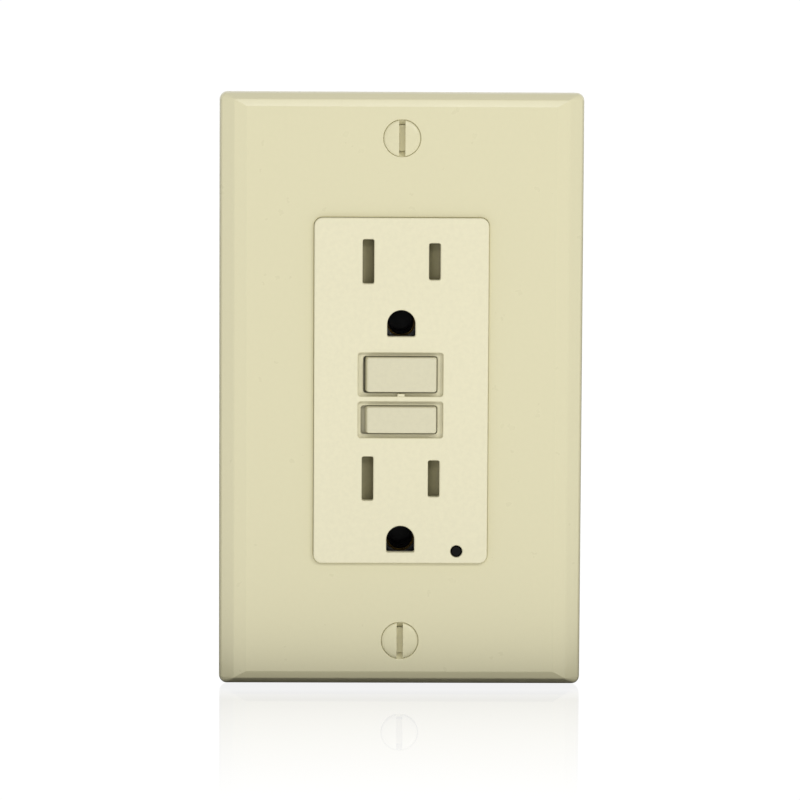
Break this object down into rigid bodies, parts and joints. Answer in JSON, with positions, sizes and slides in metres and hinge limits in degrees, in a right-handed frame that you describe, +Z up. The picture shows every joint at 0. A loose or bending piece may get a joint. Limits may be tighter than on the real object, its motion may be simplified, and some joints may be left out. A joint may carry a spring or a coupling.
{
  "type": "gfci outlet",
  "caption": "Ivory ground-fault duplex outlet with a decorator wall plate, reset and test buttons, shuttered slots, strap, terminals and trip mechanism.",
  "frame": {"origin": "centre of the whole assembly's bounding box, buttons and housing back included", "axes": "+Z up the wall, +Y into the wall, +X to the right of a viewer facing the outlet, which looks along +Y"},
  "size_m": [0.0698, 0.0364, 0.1142],
  "materials": {
    "plate_ivory": "smooth moulded thermoplastic, light satin",
    "face_ivory": "moulded, fine matt grain",
    "shutter_grey": "olive grey moulded, satin",
    "housing_ivory": "moulded, matt",
    "natural_plastic": "natural nylon, matt",
    "black_plastic": "glass-filled, matt",
    "strap_steel": "zinc plated, satin",
    "screw_steel": "zinc plated, satin",
    "brass": "stamped, lightly tarnished",
    "silvered": "nickel plated, satin",
    "copper": "copper alloy, satin",
    "spring_steel": "drawn wire",
    "green_screw_paint": "green dyed zinc plate",
    "ivory_screw_paint": "ivory enamel",
    "ferrite": "sintered, matt",
    "board_green": "solder mask over glass epoxy",
    "varistor_blue": "dipped epoxy",
    "capacitor_tan": "film capacitor, dipped",
    "lamp_smoke": "dark clear plastic",
    "fibre": "pressed fibre"
  },
  "bodies": {
    "receptacle": {"wall_plate": "plate_ivory", "front_cover": "face_ivory", "upper_shutter_spring": "spring_steel", "upper_ground_contact": "brass", "lower_shutter_spring": "spring_steel", "lower_ground_contact": "brass", "indicator_light_pipe": "lamp_smoke", "indicator_led": "lamp_smoke", "mounting_strap": "strap_steel", "retaining_washer_top": "fibre", "retaining_washer_bottom": "fibre", "hot_face_contact": "brass", "line_hot_terminal": "brass", "neutral_face_contact": "brass", "line_neutral_terminal": "brass", "solenoid_frame": "strap_steel", "reset_spring": "spring_steel", "break_spring": "spring_steel", "plunger_spring": "spring_steel", "core_housing": "black_plastic", "control_chip": "black_plastic", "separator": "black_plastic", "solenoid_bobbin": "natural_plastic", "solenoid_winding": "copper", "ground_fault_core": "copper", "grounded_neutral_core": "ferrite", "circuit_board": "board_green", "surge_varistor": "varistor_blue", "filter_capacitor": "capacitor_tan", "rear_housing": "housing_ivory", "body_screw_top_left": "screw_steel", "body_screw_top_right": "screw_steel", "body_screw_bottom_left": "screw_steel", "body_screw_bottom_right": "screw_steel"},
    "reset": {"reset_button": "face_ivory", "reset_pin": "strap_steel"},
    "test": {"test_button": "face_ivory"},
    "test_leaf": {"test_blade": "brass"},
    "carrier": {"contact_carrier": "black_plastic"},
    "latch": {"latch_plate": "strap_steel"},
    "plunger": {"solenoid_plunger": "strap_steel"},
    "hot_arm": {"hot_contact_arm": "copper"},
    "neutral_arm": {"neutral_contact_arm": "copper"},
    "upper_hot_gate": {"upper_hot_shutter": "shutter_grey"},
    "upper_neutral_gate": {"upper_neutral_shutter": "shutter_grey"},
    "lower_hot_gate": {"lower_hot_shutter": "shutter_grey"},
    "lower_neutral_gate": {"lower_neutral_shutter": "shutter_grey"},
    "line_hot_jaw": {"line_hot_clamp": "brass"},
    "line_hot_driver": {"line_hot_screw": "brass"},
    "line_neutral_jaw": {"line_neutral_clamp": "silvered"},
    "line_neutral_driver": {"line_neutral_screw": "silvered"},
    "load_hot_jaw": {"load_hot_clamp": "brass"},
    "load_hot_driver": {"load_hot_screw": "brass"},
    "load_neutral_jaw": {"load_neutral_clamp": "silvered"},
    "load_neutral_driver": {"load_neutral_screw": "silvered"},
    "plate_top_fastener": {"plate_screw_top": "ivory_screw_paint"},
    "plate_bottom_fastener": {"plate_screw_bottom": "ivory_screw_paint"},
    "box_top_fastener": {"box_screw_top": "screw_steel"},
    "box_bottom_fastener": {"box_screw_bottom": "screw_steel"},
    "earth_fastener": {"ground_screw": "green_screw_paint"}
  },
  "joints": [
    {"name": "reset_travel", "type": "slide", "parent": "receptacle", "child": "reset", "axis": [0, 1, 0], "range_m": [-0.0011, 0.0012], "deforming": ["reset_spring"]},
    {"name": "test_travel", "type": "slide", "parent": "receptacle", "child": "test", "axis": [0, 1, 0], "range_m": [0, 0.0016]},
    {"name": "test_leaf_bend", "type": "hinge", "parent": "receptacle", "child": "test_leaf", "pos_m": [0.0068, -0.00985, -0.0055], "axis": [0, 0, -1], "range_deg": [0, 16]},
    {"name": "carrier_trip", "type": "slide", "parent": "receptacle", "child": "carrier", "axis": [0, 1, 0], "range_m": [0, 0.0016], "deforming": ["break_spring"]},
    {"name": "hot_arm_opening", "type": "hinge", "parent": "receptacle", "child": "hot_arm", "pos_m": [0.011, 0.00605, 0.0079], "axis": [1, 0, 0], "range_deg": [0, 7.5]},
    {"name": "neutral_arm_opening", "type": "hinge", "parent": "receptacle", "child": "neutral_arm", "pos_m": [-0.011, 0.00605, 0.0079], "axis": [1, 0, 0], "range_deg": [0, 7.5]},
    {"name": "plunger_stroke", "type": "slide", "parent": "receptacle", "child": "plunger", "axis": [0, 0, 1], "range_m": [0, 0.0017], "deforming": ["plunger_spring"]},
    {"name": "latch_release", "type": "slide", "parent": "carrier", "child": "latch", "axis": [0, 0, 1], "range_m": [0, 0.0017]},
    {"name": "upper_hot_shutter_slide", "type": "slide", "parent": "receptacle", "child": "upper_hot_gate", "axis": [1, 0, 0], "range_m": [0, 0.0032], "deforming": ["upper_shutter_spring"]},
    {"name": "upper_neutral_shutter_slide", "type": "slide", "parent": "receptacle", "child": "upper_neutral_gate", "axis": [-1, 0, 0], "range_m": [0, 0.0032]},
    {"name": "lower_hot_shutter_slide", "type": "slide", "parent": "receptacle", "child": "lower_hot_gate", "axis": [1, 0, 0], "range_m": [0, 0.0032], "deforming": ["lower_shutter_spring"]},
    {"name": "lower_neutral_shutter_slide", "type": "slide", "parent": "receptacle", "child": "lower_neutral_gate", "axis": [-1, 0, 0], "range_m": [0, 0.0032]},
    {"name": "line_hot_clamp_travel", "type": "slide", "parent": "receptacle", "child": "line_hot_jaw", "axis": [1, 0, 0], "range_m": [0, 0.00159]},
    {"name": "line_hot_screw_turn", "type": "hinge", "parent": "line_hot_jaw", "child": "line_hot_driver", "pos_m": [0.0193, 0.0017, 0.0175], "axis": [1, 0, 0], "range_deg": [0, 721]},
    {"name": "line_neutral_clamp_travel", "type": "slide", "parent": "receptacle", "child": "line_neutral_jaw", "axis": [-1, 0, 0], "range_m": [0, 0.00159]},
    {"name": "line_neutral_screw_turn", "type": "hinge", "parent": "line_neutral_jaw", "child": "line_neutral_driver", "pos_m": [-0.0193, 0.0017, 0.0175], "axis": [-1, 0, 0], "range_deg": [0, 721]},
    {"name": "load_hot_clamp_travel", "type": "slide", "parent": "receptacle", "child": "load_hot_jaw", "axis": [1, 0, 0], "range_m": [0, 0.00159]},
    {"name": "load_hot_screw_turn", "type": "hinge", "parent": "load_hot_jaw", "child": "load_hot_driver", "pos_m": [0.0193, 0.0017, -0.0175], "axis": [1, 0, 0], "range_deg": [0, 721]},
    {"name": "load_neutral_clamp_travel", "type": "slide", "parent": "receptacle", "child": "load_neutral_jaw", "axis": [-1, 0, 0], "range_m": [0, 0.00159]},
    {"name": "load_neutral_screw_turn", "type": "hinge", "parent": "load_neutral_jaw", "child": "load_neutral_driver", "pos_m": [-0.0193, 0.0017, -0.0175], "axis": [-1, 0, 0], "range_deg": [0, 721]},
    {"name": "plate_screw_top_turn", "type": "hinge", "parent": "receptacle", "child": "plate_top_fastener", "pos_m": [0, -0.0158, 0.04842], "axis": [0, -1, 0], "continuous": true},
    {"name": "plate_screw_bottom_turn", "type": "hinge", "parent": "receptacle", "child": "plate_bottom_fastener", "pos_m": [0, -0.0158, -0.04842], "axis": [0, -1, 0], "continuous": true},
    {"name": "box_screw_top_turn", "type": "hinge", "parent": "receptacle", "child": "box_top_fastener", "pos_m": [0, -0.0128, 0.04167], "axis": [0, -1, 0], "continuous": true},
    {"name": "box_screw_bottom_turn", "type": "hinge", "parent": "receptacle", "child": "box_bottom_fastener", "pos_m": [0, -0.0128, -0.04167], "axis": [0, -1, 0], "continuous": true},
    {"name": "ground_screw_turn", "type": "hinge", "parent": "receptacle", "child": "earth_fastener", "pos_m": [-0.016, -0.0056, -0.0411], "axis": [-1, 0, 0], "continuous": true}
  ],
  "couplings": [
    {"joint": "test_leaf_bend", "follows": "test_travel", "rad_per_m": 169},
    {"joint": "hot_arm_opening", "follows": "carrier_trip", "rad_per_m": 80.6},
    {"joint": "neutral_arm_opening", "follows": "carrier_trip", "rad_per_m": 80.6},
    {"joint": "latch_release", "follows": "plunger_stroke", "ratio": 1},
    {"joint": "upper_neutral_shutter_slide", "follows": "upper_hot_shutter_slide", "ratio": 1},
    {"joint": "lower_neutral_shutter_slide", "follows": "lower_hot_shutter_slide", "ratio": 1},
    {"joint": "line_hot_screw_turn", "follows": "line_hot_clamp_travel", "rad_per_m": 7915.8},
    {"joint": "line_neutral_screw_turn", "follows": "line_neutral_clamp_travel", "rad_per_m": 7915.8},
    {"joint": "load_hot_screw_turn", "follows": "load_hot_clamp_travel", "rad_per_m": 7915.8},
    {"joint": "load_neutral_screw_turn", "follows": "load_neutral_clamp_travel", "rad_per_m": 7915.8}
  ]
}
